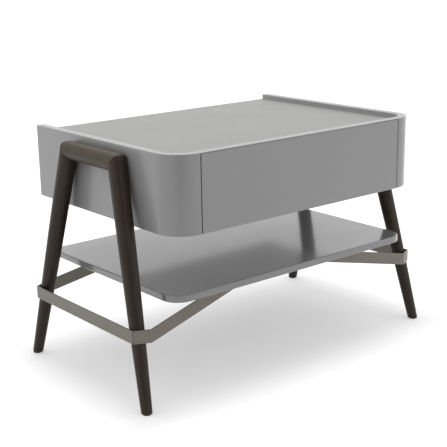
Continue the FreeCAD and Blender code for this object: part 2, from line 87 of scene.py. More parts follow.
# ---- mesh helpers ----------------------------------------------------------------------------
def make_object(name, bm):
    """Turns a bmesh into an object whose faces point outwards."""
    bmesh.ops.recalc_face_normals(bm, faces=bm.faces)
    mesh = bpy.data.meshes.new(name)
    bm.to_mesh(mesh)
    bm.free()
    obj = bpy.data.objects.new(name, mesh)
    bpy.context.scene.collection.objects.link(obj)
    return obj


def ease_edges(obj, radius, segments=3, by_weight=False, angle=35):
    """Rounds an object's sharp edges and keeps its flat faces flat to the light."""
    bevel = obj.modifiers.new("eased edges", "BEVEL")
    bevel.width = radius
    bevel.segments = segments
    bevel.limit_method = "WEIGHT" if by_weight else "ANGLE"
    bevel.angle_limit = math.radians(angle)
    bevel.use_clamp_overlap = True
    bevel.miter_outer = "MITER_ARC"
    for face in obj.data.polygons:
        face.use_smooth = True
    normals = obj.modifiers.new("flat faces", "WEIGHTED_NORMAL")
    normals.keep_sharp = True
    normals.weight = 100


def slab(name, outline, low, high, keep_sharp=None):
    """A board of any plan outline between two heights. keep_sharp picks edges left unrounded."""
    bm = bmesh.new()
    bottom = [bm.verts.new((x, y, low)) for x, y in outline]
    top = [bm.verts.new((x, y, high)) for x, y in outline]
    bm.faces.new(bottom)
    bm.faces.new(top)
    count = len(outline)
    for i in range(count):
        j = (i + 1) % count
        bm.faces.new((bottom[i], bottom[j], top[j], top[i]))
    mark_edges(bm, keep_sharp)
    return make_object(name, bm)


def mark_edges(bm, keep_sharp=None):
    """Gives every real corner a bevel weight, except where keep_sharp says no."""
    bmesh.ops.recalc_face_normals(bm, faces=bm.faces)
    weight = bm.edges.layers.float.new("bevel_weight_edge")
    for edge in bm.edges:
        if len(edge.link_faces) == 2 and edge.calc_face_angle(0) > math.radians(30):
            centre = (edge.verts[0].co + edge.verts[1].co) / 2
            if keep_sharp is None or not keep_sharp(centre):
                edge[weight] = 1.0


def extrude_section(name, section, start_x, end_x, keep_sharp=None):
    """A bar along X with a (y, z) section."""
    bm = bmesh.new()
    left = [bm.verts.new((start_x, y, z)) for y, z in section]
    right = [bm.verts.new((end_x, y, z)) for y, z in section]
    bm.faces.new(left)
    bm.faces.new(right)
    count = len(section)
    for i in range(count):
        j = (i + 1) % count
        bm.faces.new((left[i], left[j], right[j], right[i]))
    mark_edges(bm, keep_sharp)
    return make_object(name, bm)


def arc(centre, radius, start, end, steps=ARC_STEPS):
    """Plan points on an arc, from one angle to another in degrees."""
    points = []
    for i in range(steps + 1):
        angle = math.radians(start + (end - start) * i / steps)
        points.append((centre[0] + radius * math.cos(angle), centre[1] + radius * math.sin(angle)))
    return points


def mirrored(obj, name, axis):
    """A copy of an object, reflected in the plane across one axis."""
    copy = obj.copy()
    copy.data = obj.data.copy()
    copy.name = copy.data.name = name
    bpy.context.scene.collection.objects.link(copy)
    scale = [1, 1, 1]
    scale["XYZ".index(axis)] = -1
    copy.data.transform(Matrix.Diagonal((*scale, 1)))
    copy.data.flip_normals()
    return copy


def soft_copy(node, radius, segments=2):
    """A CAD node's own shape with its corners eased."""
    bm = bmesh.new()
    bm.from_mesh(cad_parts[node].data)
    bmesh.ops.remove_doubles(bm, verts=bm.verts, dist=0.01 * MM)
    bmesh.ops.dissolve_limit(bm, angle_limit=math.radians(1.0), verts=bm.verts, edges=bm.edges)
    obj = make_object(node + "_board", bm)
    ease_edges(obj, radius, segments, angle=50)
    return obj


def stand_for(obj, node, body, material):
    """Puts a finished piece in the place of a CAD node."""
    obj.data.materials.clear()
    obj.data.materials.append(material)
    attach(obj, body)
    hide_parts(node)


# ---- material helpers ------------------------------------------------------------------------
class Nodes:
    """A short way to write a material's node tree."""

    def __init__(self, name):
        self.material = bpy.data.materials.new(name)
        self.material.use_nodes = True
        self.tree = self.material.node_tree
        self.shader = self.tree.nodes["Principled BSDF"]
        coordinates = self.tree.nodes.new("ShaderNodeTexCoord")
        self.place = coordinates.outputs["Object"]

    def add(self, kind, inputs=None, **settings):
        node = self.tree.nodes.new("ShaderNode" + kind)
        for key, value in settings.items():
            setattr(node, key, value)
        for key, value in (inputs or {}).items():
            self.set(node.inputs[key], value)
        return node

    def set(self, socket, value):
        if hasattr(value, "is_output"):
            self.tree.links.new(value, socket)
        else:
            socket.default_value = value

    def stretch(self, scale, rotation=(0, 0, 0)):
        node = self.add("Mapping", {"Vector": self.place, "Scale": scale, "Rotation": rotation})
        return node.outputs["Vector"]

    def noise(self, vector, scale, detail=3.0, roughness=0.5):
        node = self.add("TexNoise", {"Vector": vector, "Scale": scale, "Detail": detail,
                                     "Roughness": roughness})
        return node.outputs["Fac"]

    def remap(self, value, low, high, from_low=0.3, from_high=0.7):
        node = self.add("MapRange", {"Value": value, "From Min": from_low, "From Max": from_high,
                                     "To Min": low, "To Max": high})
        return node.outputs["Result"]

    def blend(self, fac, dark, light):
        node = self.add("Mix", data_type="RGBA")
        self.set(node.inputs["Factor"], fac)
        for key, colour in ((6, dark), (7, light)):
            value = (*colour, 1) if isinstance(colour, tuple) else colour
            self.set(node.inputs[key], value)
        return node.outputs[2]

    def bump(self, height, strength, distance, normal=None):
        inputs = {"Height": height, "Strength": strength, "Distance": distance}
        if normal is not None:
            inputs["Normal"] = normal
        return self.add("Bump", inputs).outputs["Normal"]

    def finish(self, colour, roughness, normal=None, metallic=0.0, specular=0.5, coat=0.0,
               coat_roughness=0.1):
        self.set(self.shader.inputs["Base Color"], colour)
        self.set(self.shader.inputs["Roughness"], roughness)
        if normal is not None:
            self.set(self.shader.inputs["Normal"], normal)
        self.shader.inputs["Metallic"].default_value = metallic
        self.shader.inputs["Specular IOR Level"].default_value = specular
        self.shader.inputs["Coat Weight"].default_value = coat
        self.shader.inputs["Coat Roughness"].default_value = coat_roughness
        return self.material


def tint(colour, factor):
    return tuple(channel * factor for channel in colour)


# ---- materials -------------------------------------------------------------------------------
def lacquer(name, colour, roughness, specular=0.5, coat=0.0, coat_roughness=0.1):
    """Sprayed lacquer: an even colour with a faint drift, fine orange peel and a few specks."""
    n = Nodes(name)
    drift = n.noise(n.place, 2.3, 4.0)
    base = n.blend(n.remap(drift, 0, 1), tint(colour, 0.975), tint(colour, 1.025))
    smear = n.noise(n.stretch((3, 3, 9)), 2.0, 5.0, 0.6)
    rough = n.remap(smear, roughness - 0.03, roughness + 0.04)
    peel = n.noise(n.place, 420.0, 2.0)
    specks = n.remap(n.noise(n.place, 900.0, 1.0), 0, 1, 0.74, 0.8)
    normal = n.bump(peel, 0.10, 0.06 * MM)
    normal = n.bump(specks, 0.15, 0.05 * MM, normal)
    return n.finish(base, rough, normal, specular=specular, coat=coat,
                    coat_roughness=coat_roughness)


def dark_wood(name, along, painted_light=1.0):
    """Dark stained open-grained wood. along is the direction of the grain; the last argument makes
    it paler, as painted light on parts that catch more light.
    """
    n = Nodes(name)
    turn = Vector(along).rotation_difference(Vector((0, 0, 1))).to_euler()
    length = n.stretch((1, 1, 1), tuple(turn))

    def grain(across, lengthways):
        node = n.add("Mapping", {"Vector": length, "Scale": (across, across, lengthways)})
        return node.outputs["Vector"]

    figure = n.noise(grain(26, 1.6), 1.0, 4.0, 0.55)
    fibre = n.noise(grain(420, 9), 1.0, 4.0, 0.6)
    pores = n.remap(n.noise(grain(700, 14), 1.0, 2.0, 0.5), 1, 0, 0.28, 0.42)
    base = n.blend(n.remap(figure, 0, 1, 0.35, 0.68), tint((0.0085, 0.0046, 0.0024), painted_light),
                   tint((0.026, 0.016, 0.009), painted_light))
    base = n.blend(n.remap(fibre, 0, 0.8), base, tint((0.046, 0.030, 0.019), painted_light))
    base = n.blend(n.remap(pores, 0, 0.9, 0, 1), base, (0.004, 0.003, 0.002))
    rough = n.remap(fibre, 0.36, 0.52)
    normal = n.bump(fibre, 0.25, 0.12 * MM)
    normal = n.bump(pores, -0.45, 0.15 * MM, normal)
    return n.finish(base, rough, normal, specular=0.27)


def pewter(name):
    """Satin pewter-coloured metal with fine lines along the bar and a faint cloudiness."""
    n = Nodes(name)
    lines = n.noise(n.stretch((5, 5, 1500)), 1.0, 3.0, 0.6)
    cloud = n.noise(n.place, 16.0, 3.0)
    base = n.blend(n.remap(lines, 0, 1), (0.150, 0.137, 0.116), (0.198, 0.182, 0.157))
    base = n.blend(n.remap(cloud, 0, 0.35), base, (0.128, 0.117, 0.098))
    rough = n.remap(lines, 0.33, 0.46)
    normal = n.bump(lines, 0.12, 0.05 * MM)
    return n.finish(base, rough, normal, metallic=0.75)


def zinc(name):
    """Bright zinc plating with rolling lines along Y."""
    n = Nodes(name)
    lines = n.noise(n.stretch((900, 6, 900)), 1.0, 3.0, 0.55)
    patch = n.noise(n.place, 25.0, 2.0)
    base = n.blend(n.remap(patch, 0, 1), (0.40, 0.40, 0.41), (0.47, 0.47, 0.47))
    rough = n.remap(lines, 0.22, 0.38)
    return n.finish(base, rough, n.bump(lines, 0.1, 0.04 * MM), metallic=1.0)


def melamine(name, colour):
    """Board faced with melamine paper: a fine linen print and a matt pressed texture."""
    n = Nodes(name)
    linen = n.noise(n.stretch((30, 600, 600)), 1.0, 3.0, 0.55)
    cross = n.noise(n.stretch((600, 30, 600)), 1.0, 3.0, 0.55)
    base = n.blend(n.remap(linen, 0, 1), tint(colour, 0.93), tint(colour, 1.05))
    base = n.blend(n.remap(cross, 0, 0.5), base, tint(colour, 0.9))
    rough = n.remap(linen, 0.46, 0.62)
    return n.finish(base, rough, n.bump(cross, 0.12, 0.05 * MM))


def moulded(name, colour, roughness):
    """Moulded plastic with a fine spark-eroded grain."""
    n = Nodes(name)
    grain = n.noise(n.place, 1400.0, 2.0)
    base = n.blend(n.remap(grain, 0, 1), tint(colour, 0.85), tint(colour, 1.15))
    return n.finish(base, n.remap(grain, roughness - 0.06, roughness + 0.06),
                    n.bump(grain, 0.25, 0.05 * MM))


def bare_wood(name):
    """Pale beech, for the dowels."""
    n = Nodes(name)
    fibre = n.noise(n.stretch((60, 60, 500)), 1.0, 4.0, 0.6)
    base = n.blend(n.remap(fibre, 0, 1), (0.48, 0.34, 0.21), (0.66, 0.50, 0.34))
    return n.finish(base, n.remap(fibre, 0.5, 0.65), n.bump(fibre, 0.2, 0.05 * MM))


GREY = (0.315, 0.315, 0.317)
LEG_DOWN = (FOOT - ELBOW).normalized()
case_lacquer = lacquer("grey satin lacquer", GREY, 0.34, specular=0.35, coat=0.5,
                       coat_roughness=0.17)
top_lacquer = lacquer("grey matt top", (0.300, 0.306, 0.296), 0.46)
shelf_lacquer = lacquer("grey polished shelf lacquer", tint(GREY, 0.64), 0.30, specular=0.18,
                        coat=1.0, coat_roughness=0.12)
shelf_lacquer.node_tree.nodes["Principled BSDF"].inputs["Coat IOR"].default_value = 1.7
strap_metal = pewter("satin pewter")
steel = zinc("zinc plated steel")
board = melamine("grey drawer board", (0.42, 0.42, 0.41))
black_plastic = moulded("black plastic", (0.022, 0.022, 0.022), 0.5)
beech = bare_wood("bare beech")


# ---- the case --------------------------------------------------------------------------------
def build_case():
    low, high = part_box("side_panel_left")
    rim_low, rim_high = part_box("front_rim")
    centre = (low.x + CORNER_RADIUS, low.y + CORNER_RADIUS)
    outline = [(low.x, high.y)] + arc(centre, CORNER_RADIUS, 180, 270)
    outline += [(high.x, low.y), (high.x, low.y + WALL)]
    outline += arc(centre, CORNER_RADIUS - WALL, 270, 180)
    outline += [(low.x + WALL, high.y)]

    def rim_joint(point):
        """The joint with the front rim, which is filled and sprayed over."""
        return abs(point.x - high.x) < 0.1 * MM and point.z > high.z - 0.1 * MM

    left = slab("side_panel_left_lacquered", outline, low.z, high.z, rim_joint)
    right = mirrored(left, "side_panel_right_lacquered", "X")
    for side, panel in (("left", left), ("right", right)):
        ease_edges(panel, EDGE, by_weight=True)
        stand_for(panel, f"side_panel_{side}", "frame", case_lacquer)

    foot = rim_high.z - RIM_EDGE - WALL
    section = [(rim_low.y, rim_high.z), (rim_high.y, rim_high.z), (rim_high.y, foot),
               (rim_low.y, rim_high.z - RIM_EDGE)]
    rim = extrude_section("front_rim_lacquered", section, rim_low.x, rim_high.x,
                          lambda point: abs(abs(point.x) - rim_high.x) < 0.1 * MM)
    ease_edges(rim, EDGE, by_weight=True)
    stand_for(rim, "front_rim", "frame", case_lacquer)

    low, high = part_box("top_panel")
    radius = CORNER_RADIUS - WALL
    outline = [(high.x, high.y), (low.x, high.y)]
    outline += arc((low.x + radius, low.y + radius), radius, 180, 270)
    outline += arc((high.x - radius, low.y + radius), radius, 270, 360)
    top = slab("top_panel_lacquered", outline, low.z, high.z,
               lambda point: point.y < high.y - 0.1 * MM)
    ease_edges(top, EDGE, by_weight=True)
    stand_for(top, "top_panel", "frame", top_lacquer)

    for node, material, slot in (("bottom_panel", case_lacquer, "lacquer"),
                                 ("back_panel", case_lacquer, "lacquer"),
                                 ("inner_upright_left", board, "drawer_board"),
                                 ("inner_upright_right", board, "drawer_board")):
        stand_for(soft_copy(node, BOARD_EDGE), node, "frame", material)


def build_shelf():
    low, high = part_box("lower_shelf")
    radius = SHELF_CORNER
    outline = [(high.x, high.y), (low.x, high.y)]
    outline += arc((low.x + radius, low.y + radius), radius, 180, 270)
    outline += arc((high.x - radius, low.y + radius), radius, 270, 360)
    shelf = slab("lower_shelf_lacquered", outline, low.z, high.z)
    ease_edges(shelf, SHELF_EDGE, segments=5, by_weight=True)
    stand_for(shelf, "lower_shelf", "frame", shelf_lacquer)


# ---- the drawer ------------------------------------------------------------------------------
def build_drawer():
    front = soft_copy("drawer_front", EDGE, 3)
    stand_for(front, "drawer_front", "drawer", case_lacquer)
    for node in ("drawer_side_left", "drawer_side_right", "drawer_box_front", "drawer_back",
                 "drawer_bottom"):
        stand_for(soft_copy(node, BOARD_EDGE), node, "drawer", board)


# ---- trestles --------------------------------------------------------------------------------
def soften_elbow(point, elbow, outward):
    """Planes the inner side flat and draws the mitre's sharp outer corner in to a rounded one."""
    point = Vector((min(point.x, PLANED_X), point.y, point.z))
    reach = (point - elbow).dot(outward)
    if reach <= ELBOW_SOFT:
        return point
    room = ELBOW_REACH - ELBOW_SOFT
    kept = ELBOW_SOFT + room * math.tanh((reach - ELBOW_SOFT) / room)
    return point + outward * (kept - reach)


def leg_radius(share):
    """Radius at a share of the way down: a parabola through the three turned sizes."""
    bow = RADIUS_MIDDLE - (RADIUS_RAIL + RADIUS_FOOT) / 2
    straight = RADIUS_RAIL + (RADIUS_FOOT - RADIUS_RAIL) * share
    return straight + bow * 4 * share * (1 - share)


def ring_bar(name, rings):
    """Skins a list of rings of points, with a closed face at each end."""
    bm = bmesh.new()
    loops = [[bm.verts.new(point) for point in ring] for ring in rings]
    for near, far in zip(loops, loops[1:]):
        for i in range(ROUND_STEPS):
            j = (i + 1) % ROUND_STEPS
            bm.faces.new((near[i], near[j], far[j], far[i]))
    bm.faces.new(loops[0])
    bm.faces.new(loops[-1])
    for face in bm.faces:
        face.smooth = True
    for loop in (loops[0], loops[-1]):
        for i in range(ROUND_STEPS):
            edge = bm.edges.get((loop[i], loop[(i + 1) % ROUND_STEPS]))
            edge.smooth = False
    return make_object(name, bm)


def mitre_frame(down):
    """Normal of the mitre plane and the direction of the elbow's outer corner."""
    inward = Vector((0, 1, 0))
    return (inward - down).normalized(), -(inward + down).normalized()


def build_leg(name):
    """Front left leg, from its glide up to the mitre."""
    normal, outward = mitre_frame(LEG_DOWN)
    side = LEG_DOWN.orthogonal().normalized()
    other = LEG_DOWN.cross(side)
    length = (FOOT - ELBOW).length
    glide_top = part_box("foot_glides")[1].z
    rings = []
    for near_mitre in (0.0, 0.01, 0.022, 0.036, 0.052, 0.07, 0.09, 0.11, 0.13):
        rings.append(("mitre", near_mitre))
    for i in range(3, 31):
        rings.append(("turned", i / 30))
    meshes = []
    for kind, value in rings:
        ring = []
        for i in range(ROUND_STEPS):
            angle = 2 * math.pi * i / ROUND_STEPS
            spoke = side * math.cos(angle) + other * math.sin(angle)
            if kind == "mitre":
                base = ELBOW + spoke * leg_radius(0)
                start = (MITRE_JOINT + (base - ELBOW).dot(normal)) / -LEG_DOWN.dot(normal)
                target = 3 / 30 * length
                along = start + (target - start) * value / 0.15
            else:
                along = value * length
            point = ELBOW + LEG_DOWN * along + spoke * leg_radius(max(along / length, 0))
            if kind == "turned" and value > 0.999:
                point = point + LEG_DOWN * ((glide_top - point.z) / LEG_DOWN.z)
            ring.append(soften_elbow(point, ELBOW, outward))
        meshes.append(ring)
    return ring_bar(name, meshes)


def build_rail(name):
    """Left top rail, from mitre to mitre."""
    half_rings = []
    for side in (-1, 1):
        elbow = Vector((ELBOW.x, ELBOW.y * -side, ELBOW.z))
        down = Vector((LEG_DOWN.x, LEG_DOWN.y * -side, LEG_DOWN.z))
        inward = Vector((0, -side, 0))
        normal = (inward - down).normalized()
        outward = -(inward + down).normalized()
        rings = []
        for value in (0.0, 0.06, 0.13, 0.21, 0.3, 0.42, 0.56, 0.75, 1.0):
            ring = []
            for i in range(ROUND_STEPS):
                angle = 2 * math.pi * i / ROUND_STEPS
                spoke = Vector((math.cos(angle), 0, math.sin(angle)))
                base = elbow + spoke * RADIUS_RAIL
                start = (MITRE_JOINT - (base - elbow).dot(normal)) / inward.dot(normal)
                along = start + (MITRE_ZONE - start) * value
                ring.append(soften_elbow(base + inward * along, elbow, outward))
            rings.append(ring)
        half_rings.append(rings)
    return ring_bar(name, half_rings[1] + half_rings[0][::-1])


def build_trestles():
    front_left = build_leg("front_leg_left_turned")
    pieces = {"front_leg_left": (front_left, LEG_DOWN)}
    for node, source, axis in (("front_leg_right", "front_leg_left", "X"),
                               ("rear_leg_left", "front_leg_left", "Y"),
                               ("rear_leg_right", "rear_leg_left", "X")):
        obj, along = pieces[source]
        flip = Vector((-1, 1, 1)) if axis == "X" else Vector((1, -1, 1))
        pieces[node] = (mirrored(obj, node + "_turned", axis), along * flip)
    rail = build_rail("top_rail_left_turned")
    pieces["top_rail_left"] = (rail, Vector((0, 1, 0)))
    pieces["top_rail_right"] = (mirrored(rail, "top_rail_right_turned", "X"), Vector((0, 1, 0)))
    for node, (obj, along) in pieces.items():
        ease_edges(obj, MITRE_EDGE, segments=2, angle=45)
        obj.modifiers.remove(obj.modifiers["flat faces"])
        # the rails' paler wood is painted light, not a different wood
        painted_light = RAIL_PAINTED_LIGHT if "rail" in node else 1.0
        material = dark_wood("dark wood " + node.replace("_", " "), along, painted_light)
        stand_for(obj, node, "frame", material)


# ---- straps ----------------------------------------------------------------------------------
def bend_path(points, radius, steps=8):
    """Plan points of a path with its corners bent to a radius."""
    path = [points[0]]
    for before, corner, after in zip(points, points[1:], points[2:]):
        into, out = (corner - before).normalized(), (after - corner).normalized()
        turn = into.angle(out)
        cut = radius * math.tan(turn / 2)
        for i in range(steps + 1):
            t = i / steps
            start, end = corner - into * cut, corner + out * cut
            path.append(start * (1 - t) ** 2 + corner * 2 * t * (1 - t) + end * t ** 2)
    path.append(points[-1])
    return path


def flat_bar(name, path, heights, start_normal=None):
    """An upright flat bar along a plan path. heights gives (low, high) at a plan point."""
    bm = bmesh.new()
    sections = []
    for i, point in enumerate(path):
        before, after = path[max(i - 1, 0)], path[min(i + 1, len(path) - 1)]
        along = (after - before).normalized()
        side = Vector((-along.y, along.x)) * (STRAP_THICK / 2)
        if i == 0 and start_normal is not None:
            cross = Vector((-start_normal.y, start_normal.x))
            side = cross * (STRAP_THICK / 2) / cross.dot(side.normalized())
        low, high = heights(point)
        corners = [(point - side, low), (point + side, low), (point + side, high),
                   (point - side, high)]
        sections.append([bm.verts.new((p.x, p.y, z)) for p, z in corners])
    for near, far in zip(sections, sections[1:]):
        for i in range(4):
            j = (i + 1) % 4
            bm.faces.new((near[i], near[j], far[j], far[i]))
    bm.faces.new(sections[0])
    bm.faces.new(sections[-1])
    mark_edges(bm)
    return bm


def build_straps():
    low, high = (corner.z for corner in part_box("side_strap_left"))
    shelf_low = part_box("lower_shelf")[0].z
    into, out = Vector((0, -1)), (STRAP_KINK - STRAP_CORNER).normalized()
    seam_normal = (into + out).normalized()
    seam = STRAP_CORNER + seam_normal * STRAP_SEAM / 2
    run = Vector((1, STRAP_TURN_IN))
    end_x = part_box("front_shelf_strap_left")[1].x
    level_x = STRAP_KINK.x + (shelf_low - high) / STRAP_RISE
    end = STRAP_KINK + run * (end_x - STRAP_KINK.x)
    level = STRAP_KINK + run * (level_x - STRAP_KINK.x)

    def heights(point):
        rise = max(point.x - STRAP_KINK.x, 0) * STRAP_RISE
        return low + rise, min(high + rise, shelf_low)

    path = bend_path([seam, STRAP_KINK, end], STRAP_BEND)
    path = path[:-1] + [level, end]
    bm = flat_bar("front_shelf_strap_left_bar", path, heights, seam_normal)
    across = Vector((-STRAP_TURN_IN, 1)).normalized()
    near = end - run * FLANGE_LENGTH
    flange = [end + across * FLANGE_LAP, end + across * FLANGE_REACH,
              near + across * FLANGE_REACH, near + across * FLANGE_LAP]
    bottom = [bm.verts.new((p.x, p.y, shelf_low - STRAP_THICK)) for p in flange]
    top = [bm.verts.new((p.x, p.y, shelf_low)) for p in flange]
    bm.faces.new(bottom)
    bm.faces.new(top)
    for i in range(4):
        bm.faces.new((bottom[i], bottom[(i + 1) % 4], top[(i + 1) % 4], top[i]))
    strap = make_object("front_shelf_strap_left_bar", bm)
    straps = {"front_shelf_strap_left": strap}
    straps["front_shelf_strap_right"] = mirrored(strap, "front_shelf_strap_right_bar", "X")
    straps["rear_shelf_strap_left"] = mirrored(strap, "rear_shelf_strap_left_bar", "Y")
    straps["rear_shelf_strap_right"] = mirrored(straps["front_shelf_strap_right"],
                                                "rear_shelf_strap_right_bar", "Y")

    start = Vector((STRAP_CORNER.x, -STRAP_CORNER.y)) + Vector((0, -0.3 * MM))
    finish = STRAP_CORNER + Vector((0, 0.3 * MM))
    bm = flat_bar("side_strap_left_bar", [start, finish], lambda point: (low, high))
    side = make_object("side_strap_left_bar", bm)
    straps["side_strap_left"] = side
    straps["side_strap_right"] = mirrored(side, "side_strap_right_bar", "X")
    for node, obj in straps.items():
        ease_edges(obj, STRAP_EDGE, segments=2)
        stand_for(obj, node, "frame", strap_metal)


# ---- fasteners and balls, made by Geometry Nodes ---------------------------------------------
def islands(node):
    """(lowest, highest) corner of each separate solid in a CAD node."""
    bm = bmesh.new()
    bm.from_mesh(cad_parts[node].data)
    bmesh.ops.remove_doubles(bm, verts=bm.verts, dist=0.01 * MM)
    left = set(bm.verts)
    boxes = []
    while left:
        todo, found = [left.pop()], []
        while todo:
            vert = todo.pop()
            found.append(vert.co.copy())
            for edge in vert.link_edges:
                other = edge.other_vert(vert)
                if other in left:
                    left.remove(other)
                    todo.append(other)
        boxes.append((Vector([min(p[i] for p in found) for i in range(3)]),
                      Vector([max(p[i] for p in found) for i in range(3)])))
    bm.free()
    return sorted(boxes, key=lambda pair: tuple(round(c, 4) for c in pair[0]))


def screw_tree(material):
    """Geometry Nodes that set a turned screw or bolt, head up along +Z, on every point."""
    tree = bpy.data.node_groups.new("set fasteners", "GeometryNodeTree")
    sockets = tree.interface
    sockets.new_socket("Points", in_out="INPUT", socket_type="NodeSocketGeometry")
    sizes = (("Shank Radius", 0.002), ("Shank Length", 0.02), ("Head Radius", 0.004),
             ("Head Height", 0.0025), ("Recess Radius", 0.0016))
    for name, default in sizes:
        socket = sockets.new_socket(name, in_out="INPUT", socket_type="NodeSocketFloat")
        socket.default_value = default
    sockets.new_socket("Turn", in_out="INPUT", socket_type="NodeSocketRotation")
    sockets.new_socket("Geometry", in_out="OUTPUT", socket_type="NodeSocketGeometry")
    nodes, links = tree.nodes, tree.links
    source = nodes.new("NodeGroupInput")
    result = nodes.new("NodeGroupOutput")

    def node(kind, **settings):
        made = nodes.new(kind)
        for key, value in settings.items():
            setattr(made, key, value)
        return made

    def value(operation, first, second):
        made = node("ShaderNodeMath", operation=operation)
        for index, term in enumerate((first, second)):
            if hasattr(term, "is_output"):
                links.new(term, made.inputs[index])
            else:
                made.inputs[index].default_value = term
        return made.outputs[0]

    def cone(top, bottom, height, low, sides=24):
        made = node("GeometryNodeMeshCone")
        made.inputs["Vertices"].default_value = sides
        links.new(top, made.inputs["Radius Top"])
        links.new(bottom, made.inputs["Radius Bottom"])
        links.new(height, made.inputs["Depth"])
        move = node("GeometryNodeTransform")
        offset = node("ShaderNodeCombineXYZ")
        links.new(low, offset.inputs["Z"])
        links.new(made.outputs["Mesh"], move.inputs["Geometry"])
        links.new(offset.outputs["Vector"], move.inputs["Translation"])
        return move.outputs["Geometry"]

    size = {name: source.outputs[name] for name, _ in sizes}
    minus_head = value("MULTIPLY", size["Head Height"], -1)
    minus_shank = value("MULTIPLY", size["Shank Length"], -1)
    shank = cone(size["Shank Radius"], size["Shank Radius"],
                 value("SUBTRACT", size["Shank Length"], size["Head Height"]), minus_shank)
    head = cone(size["Head Radius"], value("MULTIPLY", size["Shank Radius"], 1.02),
                size["Head Height"], minus_head)
    recess = cone(size["Recess Radius"], value("MULTIPLY", size["Recess Radius"], 0.6),
                  value("MULTIPLY", size["Head Height"], 0.9),
                  value("MULTIPLY", size["Head Height"], -0.8), 6)
    cut = node("GeometryNodeMeshBoolean", operation="DIFFERENCE", solver="EXACT")
    links.new(head, cut.inputs["Mesh 1"])
    links.new(recess, cut.inputs["Mesh 2"])
    join = node("GeometryNodeJoinGeometry")
    links.new(shank, join.inputs["Geometry"])
    links.new(cut.outputs["Mesh"], join.inputs["Geometry"])
    spread = node("GeometryNodeInstanceOnPoints")
    links.new(source.outputs["Points"], spread.inputs["Points"])
    links.new(join.outputs["Geometry"], spread.inputs["Instance"])
    links.new(source.outputs["Turn"], spread.inputs["Rotation"])
    real = node("GeometryNodeRealizeInstances")
    links.new(spread.outputs["Instances"], real.inputs["Geometry"])
    paint = node("GeometryNodeSetMaterial")
    paint.inputs["Material"].default_value = material
    links.new(real.outputs["Geometry"], paint.inputs["Geometry"])
    links.new(paint.outputs["Geometry"], result.inputs["Geometry"])
    return tree


def run_tree(name, tree, points, values):
    """Runs a tree on a cloud of points and returns its result as a plain mesh object."""
    cloud = bpy.data.meshes.new(name + "_points")
    cloud.from_pydata(points, [], [])
    obj = bpy.data.objects.new(name, cloud)
    bpy.context.scene.collection.objects.link(obj)
    modifier = obj.modifiers.new("made", "NODES")
    modifier.node_group = tree
    for item in tree.interface.items_tree:
        if item.item_type == "SOCKET" and item.in_out == "INPUT" and item.name in values:
            modifier[item.identifier] = values[item.name]
    depsgraph = bpy.context.evaluated_depsgraph_get()
    mesh = bpy.data.meshes.new_from_object(obj.evaluated_get(depsgraph))
    mesh.name = name
    obj.modifiers.clear()
    obj.data = mesh
    bpy.data.meshes.remove(cloud)
    return obj


def head_end(low, high, outward):
    """Centre of a fastener's head face, on the side that outward points to."""
    centre = (low + high) / 2
    return centre + Vector([abs(c) for c in high - low]) * 0.5 * outward


def build_fasteners():
    tree = screw_tree(steel)
    quarter = math.pi / 2
    # node, body, (test, outward direction, turn of the head), sizes
    wood_screw = {"Shank Radius": 0.0019, "Head Radius": 0.0039, "Head Height": 0.0025,
                  "Recess Radius": 0.0017}
    runner_screw = {"Shank Radius": 0.0016, "Head Radius": 0.0027, "Head Height": 0.0012,
                    "Recess Radius": 0.0012}
    to_rear = (Vector((0, 1, 0)), (-quarter, 0, 0))
    down = (Vector((0, 0, -1)), (math.pi, 0, 0))
    to_left = (Vector((-1, 0, 0)), (0, -quarter, 0))
    to_right = (Vector((1, 0, 0)), (0, quarter, 0))
    plan = [("back_screws", "frame", wood_screw, [(lambda p: True, to_rear)]),
            ("shelf_screws", "frame", wood_screw, [(lambda p: True, down)]),
            ("drawer_front_screws", "drawer", wood_screw, [(lambda p: True, to_rear)]),
            ("cabinet_runner_screws", "frame", runner_screw,
             [(lambda p: p.x < 0, to_right), (lambda p: p.x > 0, to_left)]),
            ("drawer_runner_screws", "drawer", runner_screw,
             [(lambda p: p.x < 0, to_left), (lambda p: p.x > 0, to_right)])]
    for node, body, sizes, ways in plan:
        parts = []
        for index, (wanted, (outward, turn)) in enumerate(ways):
            boxes = [pair for pair in islands(node) if wanted((pair[0] + pair[1]) / 2)]
            points = [head_end(low, high, outward) for low, high in boxes]
            length = abs((boxes[0][1] - boxes[0][0]).dot(outward))
            values = dict(sizes, Turn=turn)
            values["Shank Length"] = length
            parts.append(run_tree(f"{node}_set_{index}", tree, points, values))
        obj = parts[0]
        if len(parts) > 1:
            bm = bmesh.new()
            for part in parts:
                bm.from_mesh(part.data)
            bm.to_mesh(obj.data)
            bm.free()
            for part in parts[1:]:
                bpy.data.objects.remove(part)
        obj.name = node + "_set"
        stand_for(obj, node, body, steel)


